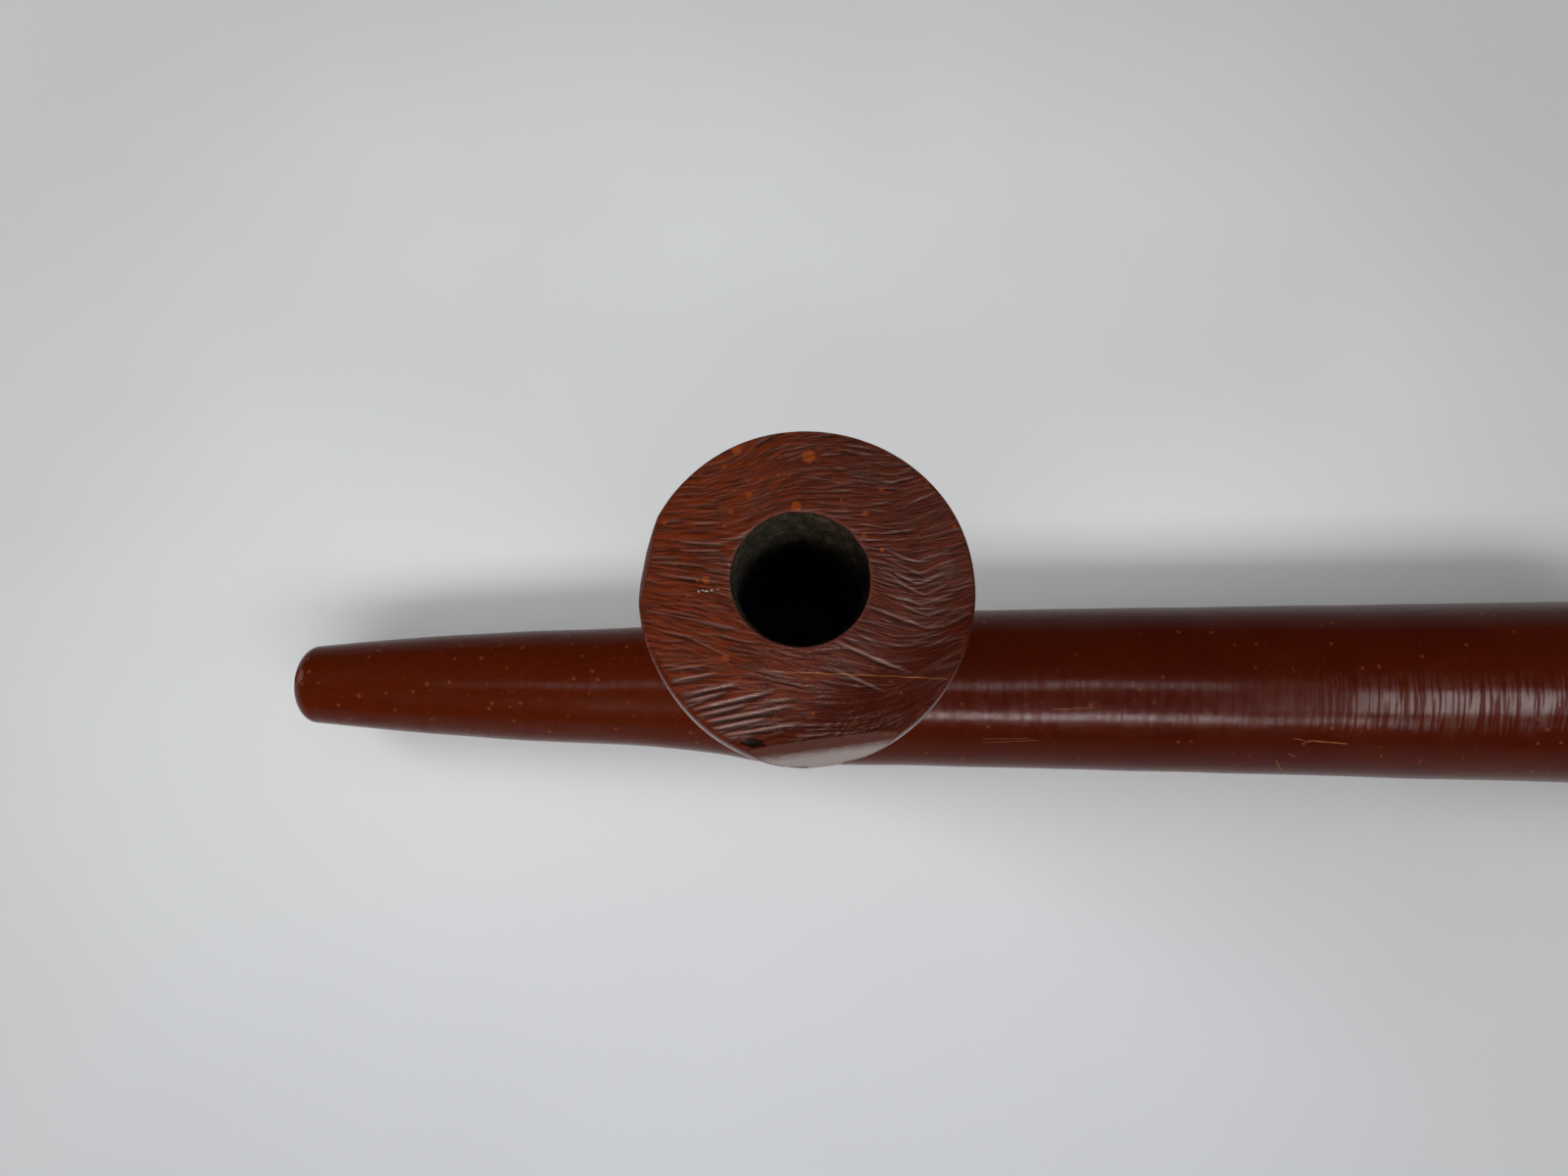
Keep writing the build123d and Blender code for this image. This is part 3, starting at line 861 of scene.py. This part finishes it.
def scratches(stone):
    """Where the tube has been scratched down to pale stone, from 0 to 1."""
    scale = 14
    turn = stone.math("ARCTAN2", stone.y, stone.minus(stone.z, AXIS_Z))
    arc = stone.plus(stone.times(turn, scale), stone.times(stone.noise(0.7), 0.5))
    total = 0
    for x, degrees, x_end, degrees_end, half_width in SCRATCHES:
        start = Vector((x, scale * math.radians(degrees) + 0.25))
        reach = Vector((x_end, scale * math.radians(degrees_end) + 0.25)) - start
        heading = reach.normalized()
        off_x = stone.minus(stone.x, start.x)
        off_arc = stone.minus(arc, start.y)
        along = stone.plus(stone.times(off_x, heading.x), stone.times(off_arc, heading.y))
        across = stone.minus(stone.times(off_arc, heading.x), stone.times(off_x, heading.y))
        from_middle = stone.size(stone.minus(along, reach.length / 2))
        within = stone.span(from_middle, reach.length / 2 + 0.2, reach.length / 2 - 0.6)
        thin = stone.span(stone.size(across), half_width, 0.4 * half_width)
        total = stone.larger(total, stone.times(within, thin))
    upper = stone.math("GREATER_THAN", stone.size(stone.z), 0.5 * AXIS_Z)
    below_bowl = stone.math("LESS_THAN", stone.z, 2.4 * AXIS_Z)
    return stone.times(total, stone.times(upper, below_bowl))


def speckles(stone, filed):
    """Small specks of two sizes, thinner towards the shank's end and fainter on the filed face."""
    sparse = stone.span(stone.x, -20, 30, 0.55, 0.7)
    specks = 0
    for scale, reach, share in ((0.5, 0.25, 0.5), (0.85, 0.17, 0.4)):
        distance, random = stone.cells(scale)
        keep = stone.times(stone.math("GREATER_THAN", random, sparse), share)
        specks = stone.larger(specks, stone.times(stone.span(distance, reach, 0.15 * reach), keep))
    return stone.times(specks, stone.minus(1, stone.times(filed, 0.6)))


def polished_stone(stone):
    """The polished skin's colour: dark red, cloudy and mottled, a little browner and lighter at the prow, with
    painted shade darkening the shank.
    """
    cloud = stone.span(stone.noise(0.09, detail=3), 0.35, 0.65)
    mottle = stone.span(stone.noise(1.3, detail=5), 0.35, 0.7)
    # painted shade: darker along the shank, where the bowl keeps the left lamp's light off it
    along = stone.span(stone.x, -10, 60)
    colour = stone.blend(along, (0.082, 0.0088, 0.0006), (0.062, 0.0052, 0.0005))
    colour = stone.blend(stone.times(cloud, 0.5), colour, (0.08, 0.01, 0.0016))
    return stone.blend(stone.times(mottle, 0.35), colour, (0.05, 0.004, 0.0003))


def rubbed_stone(stone, smooth, dark_lines, bright_lines):
    """The filed face's colour: orange-red, duller and greyer towards the shank partly as a painted sheen,
    darker at the front right as painted shade, and lined all over with painted shade and painted sheen.
    """
    # partly the stone's own tone and partly a painted sheen: greyer towards the shank
    side = stone.plus(stone.x, stone.times(stone.noise(0.25, detail=3), 14))
    colour = stone.blend(stone.span(side, -6, 18), (0.144, 0.0195, 0.003), (0.084, 0.0155, 0.007))
    # painted shade: darker at the smoother front right
    colour = stone.blend(smooth, colour, (0.05, 0.0062, 0.0018))
    # painted sheen on the lines' ridges, weaker where filed smoother
    pale = stone.times(bright_lines, stone.span(smooth, 0, 1, 0.48, 0.2))
    colour = stone.blend(pale, colour, (0.19, 0.046, 0.02))
    # painted shade in the lines
    marked = stone.times(stone.minus(1, stone.times(smooth, 0.55)), 0.72)
    return stone.blend(stone.times(dark_lines, marked), colour, (0.014, 0.004, 0.0022))


def shine(stone, filed, burr, smooth, scuffed):
    """How strongly each place reflects: in coarse streaks along the shank's front, evenly elsewhere."""
    round_tube, round_bowl = (stone.noise(1, by, 2, 0.6) for by in ((1.7, 0.1, 0.1), (0.1, 0.1, 1.7)))
    streaks = stone.between(stone.span(stone.z, 28, 34), round_tube, round_bowl)
    worked = stone.span(stone.x, 76, 102)
    dull, bright = stone.span(worked, 0, 1, 0.07, 0.05), stone.span(worked, 0, 1, 0.12, 0.3)
    level = stone.span(streaks, 0.42, 0.58, dull, bright)
    from_middle = stone.size(stone.minus(stone.y, STREAKED_Y))
    level = stone.between(stone.span(from_middle, 3.6, 5.8), level, 0.07)
    rubbed = stone.plus(stone.span(smooth, 0, 1, 0.09, 0.02), stone.times(burr, 0.6))
    return stone.times(stone.between(filed, level, rubbed), stone.span(scuffed, 0, 1, 1, 0.2))


def stone_material():
    """Polished red pipestone, with tan specks and paler where filed, and painted shade and painted highlights
    in and beside the file's marks.
    """
    stone = Recipe("red_pipestone")
    filed, burr, facet = (stone.attribute(name) for name in ("filed", "burr", "facet"))
    dark_lines, bright_lines = file_lines(stone)
    leaning = stone.minus(stone.times(stone.x, 0.7), stone.y)
    smooth = stone.span(leaning, 9, 17)  # the face's front right, which is filed smoother and painted darker as shade
    colour = stone.blend(filed, polished_stone(stone), rubbed_stone(stone, smooth, dark_lines, bright_lines))
    # pale dust and painted sheen, paler towards the facets' lower edge
    dust_and_sheen = stone.span(stone.plus(stone.z, stone.noise(0.8, by=(1, 1, 3))), 87, 85.2)
    scratched = scratches(stone)
    layers = (  # where each lies, how thick it is, and its colour
        # painted shade in the file's grooves
        (stone.attribute("groove"), 0.85, (0.012, 0.004, 0.0025)),
        # painted highlight on the burrs beside the marks
        (burr, 0.58, (0.26, 0.098, 0.064)),
        # pale dust and painted sheen on the filed facets
        (stone.times(facet, stone.larger(dust_and_sheen, 0.1)), 1, (0.34, 0.29, 0.275)),
        # painted highlight round the bore's edge
        (stone.attribute("bore_edge"), 0.6, (0.15, 0.045, 0.035)),
        (speckles(stone, filed), 1, (0.24, 0.075, 0.022)),
        (scratched, 0.8, (0.26, 0.085, 0.032)),
        (stone.attribute("spot"), 0.85, (0.255, 0.046, 0.004)),
        (stone.attribute("fleck"), 1, (0.6, 0.55, 0.48)),
        (stone.times(vein(stone), filed), 1, (0.36, 0.13, 0.04)),
        # painted shade in the broken pit
        (stone.attribute("pit"), 0.95, (0.01, 0.005, 0.004)),
    )
    for share, thickness, tint in layers:
        colour = stone.blend(stone.times(share, thickness), colour, tint)

    smear = stone.span(stone.noise(0.6), 0.3, 0.7, 0.17, 0.25)
    rubbed_gloss = stone.span(stone.noise(2, by=(0.15, 1, 1)), 0.3, 0.7, 0.26, 0.42)
    gloss = stone.between(filed, smear, rubbed_gloss)
    scuffed = stone.span(stone.x, TIP_X + 3, TIP_X + 0.8)
    scuffed = stone.larger(scuffed, stone.math("GREATER_THAN", facet, 0.01))
    for worn in (scratched, scuffed):
        gloss = stone.larger(gloss, stone.times(worn, 0.55))
    skin = stone.bump(stone.times(stone.minus(bright_lines, dark_lines), filed), 0.035)
    level = shine(stone, filed, burr, smooth, scuffed)
    return stone.finish(Base_Color=colour, Roughness=gloss, Normal=skin, Specular_IOR_Level=level)


def carbon_material():
    """Burnt-on carbon: nearly black, matt and crumbly, with ash in its hollows, lighter on one side as painted
    light and darker deep down as painted shade.
    """
    carbon = Recipe("burnt_carbon")
    crumbs = carbon.noise(3.2, detail=8, rough=0.7)
    distance, _ = carbon.cells(1.8)
    ash = carbon.span(carbon.noise(0.9, detail=6), 0.4, 0.66)
    # ash and painted light: the crust is lighter towards -X and +Y, where light falls into the chamber
    leaning = carbon.minus(carbon.x, carbon.times(carbon.y, 0.8))
    lit_and_ashy_side = carbon.span(leaning, 5, -5)
    grit = carbon.span(crumbs, 0.38, 0.62)
    colour = carbon.blend(grit, (0.0006, 0.0005, 0.0004), (0.003, 0.0024, 0.0016))
    lit_and_ashy = carbon.blend(grit, (0.002, 0.0016, 0.001), (0.036, 0.026, 0.012))
    colour = carbon.blend(lit_and_ashy_side, colour, lit_and_ashy)
    colour = carbon.blend(carbon.times(ash, lit_and_ashy_side), colour, (0.06, 0.043, 0.02))
    # painted shade: darker deeper down the chamber
    deep = carbon.span(carbon.z, RIM_Z - 5, RIM_Z - 15)
    colour = carbon.blend(deep, colour, (0.0012, 0.001, 0.0008))
    skin = carbon.bump(crumbs, 0.35)
    skin = carbon.bump(distance, 0.12, skin)
    return carbon.finish(Base_Color=colour, Roughness=0.85, Normal=skin, Specular_IOR_Level=0.1)


def wood_material():
    """Oiled ash wood: long fine grain, with growth bands, pores and darker knots."""
    wood = Recipe("oiled_ash")
    bands = wood.noise(0.35, by=(0.03, 1, 1), detail=3)
    bands = wood.math("FRACT", wood.times(bands, 7))
    bands = wood.span(bands, 0, 1)
    fibre = wood.noise(3, by=(0.02, 1, 1), detail=6, rough=0.7)
    pores = wood.span(wood.noise(5, by=(0.05, 1, 1), detail=2), 0.62, 0.7)
    colour = wood.blend(bands, (0.36, 0.19, 0.08), (0.23, 0.105, 0.04))
    colour = wood.blend(wood.times(fibre, 0.6), colour, (0.2, 0.085, 0.03))
    colour = wood.blend(wood.times(pores, 0.7), colour, (0.06, 0.024, 0.01))
    skin = wood.bump(fibre, 0.05)
    skin = wood.bump(wood.times(pores, -1), 0.05, skin)
    gloss = wood.span(fibre, 0.3, 0.7, 0.42, 0.55)
    return wood.finish(Base_Color=colour, Roughness=gloss, Normal=skin, Specular_IOR_Level=0.4)


def leather_material():
    """Thin tan leather, darkened and shiny where it has been pressed into the socket."""
    leather = Recipe("tan_leather")
    distance, _ = leather.cells(2.6)
    worn = leather.span(leather.noise(0.3), 0.4, 0.65)
    colour = leather.blend(worn, (0.28, 0.13, 0.055), (0.15, 0.062, 0.026))
    colour = leather.blend(leather.span(distance, 0.5, 0.8), colour, (0.08, 0.032, 0.014))
    skin = leather.bump(distance, -0.1)
    gloss = leather.span(worn, 0, 1, 0.62, 0.45)
    return leather.finish(Base_Color=colour, Roughness=gloss, Normal=skin)


def floor_material():
    """A matt white table top, with painted shade: darker towards the front and greyer further from the middle.
    """
    floor = Recipe("white_table")
    shade = floor.noise(0.012, detail=2)
    away = floor.add("ShaderNodeVectorMath", {0: floor.place}, operation="LENGTH").outputs["Value"]
    # painted shade: greyer further from the middle
    worn = floor.span(floor.plus(away, floor.times(shade, 60)), 60, 240)
    # painted shade: darker towards the front
    colour = floor.blend(floor.span(floor.y, -110, 20), (0.74, 0.76, 0.81), (0.88, 0.9, 0.9))
    colour = floor.blend(worn, colour, (0.62, 0.63, 0.635))
    return floor.finish(Base_Color=colour, Roughness=0.7, Specular_IOR_Level=0.1)


# ---- the scene
def place(piece, body, nodes, slot, material):
    piece.data.materials.append(material)
    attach(piece, body)
    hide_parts(*nodes)


def lay_floor():
    """A wide table top at the height the pipe stands on."""
    half = 3
    mesh = bpy.data.meshes.new("table_top")
    corners = [(-half, -half, 0), (half, -half, 0), (half, half, 0), (-half, half, 0)]
    mesh.from_pydata(corners, [], [(0, 1, 2, 3)])
    floor = into_scene("table_top", mesh)
    mesh.materials.append(floor_material())


def lamp(name, at, towards, size, watts, only_gloss=False):
    """A flat rectangular lamp, its long side along X. Lengths in millimetres."""
    data = bpy.data.lights.new(name, "AREA")
    data.shape = "RECTANGLE"
    data.size, data.size_y = size[0] * MM, size[1] * MM
    data.energy = watts
    made = into_scene(name, data)
    made.location = Vector(at) * MM
    aim = Vector(towards) - Vector(at)
    made.rotation_euler = aim.to_track_quat("-Z", "Y").to_euler()
    made.visible_diffuse = not only_gloss
    made.visible_glossy = only_gloss
    made.visible_camera = False


SEEN_LAMPS = (  # lamps seen only in the polish: name, from x, to x, y, the y aimed at, width along y, watts
    ("strip_far_130", -120, 130, -40, -40, 80, 0.5), ("strip_far_260", -60, 260, -40, -40, 80, 0.7),
    ("strip_near_350", -120, 350, -665, -100, 115, 5), ("strip_near_430", -120, 430, -665, -100, 115, 1.6),
    ("strip_near_500", -120, 500, -665, -100, 115, 1.45), ("panel_340", 340, 705, -262, -262, 330, 2.35),
    ("panel_385", 385, 705, -262, -262, 330, 7), ("glow", -280, -100, -69, -69, 110, 0.16),
)


def light_scene():
    """A dim room lit softly from above, from the front and from the back left."""
    world = bpy.data.worlds.new("dim_room")
    world.use_nodes = True
    nodes, links = world.node_tree.nodes, world.node_tree.links
    background = nodes["Background"]
    background.inputs["Color"].default_value = (0.97, 0.985, 1, 1)
    direction = nodes.new("ShaderNodeSeparateXYZ")
    links.new(nodes.new("ShaderNodeTexCoord").outputs["Generated"], direction.inputs[0])
    strength = nodes.new("ShaderNodeMapRange")
    for key, value in {"From Min": 0, "From Max": 0.14, "To Min": 0.55, "To Max": 0.08}.items():
        strength.inputs[key].default_value = value
    links.new(direction.outputs["Z"], strength.inputs["Value"])
    links.new(strength.outputs[0], background.inputs["Strength"])
    bpy.context.scene.world = world
    lamp("ceiling", (-400, 0, 3000), (0, 0, 0), (4800, 4800), 24.8)
    lamp("window", (0, -2080, 2560), (0, 0, 20), (6000, 920), 74)
    lamp("left_lamp", (-900, 180, 760), (0, 0, 20), (500, 500), 4.4)
    for name, left, right, y, aim_y, width, watts in SEEN_LAMPS:
        middle = 0.5 * (left + right)
        lamp(name, (middle, y, 600), (middle, aim_y, 50), (right - left, width), watts, only_gloss=True)


def set_camera():
    """Almost straight above the bowl, leaning a little towards the front."""
    data = bpy.data.cameras.new("camera")
    data.lens, data.sensor_width = 27.05, 36
    data.clip_start = 0.01
    camera = into_scene("camera", data)
    lean, roll = math.radians(13.07), math.radians(0.335)
    turn = Matrix.Rotation(lean, 4, "X") @ Matrix.Rotation(roll, 4, "Z")
    camera.matrix_world = Matrix.Translation(Vector((-2.65, -29.77, 218.2)) * MM) @ turn
    bpy.context.scene.camera = camera


place(stone_head(), "head", ["pipe_head"], "red_stone", stone_material())
place(carbon_crust(), "head", ["carbon_lining"], "carbon", carbon_material())
place(wooden_stem(), "stem_assembly", ["stem"], "stem_wood", wood_material())
place(leather_gasket(), "stem_assembly", ["tenon_gasket"], "gasket_leather", leather_material())
lay_floor()
light_scene()
set_camera()
bpy.context.scene.view_settings.view_transform = "Standard"
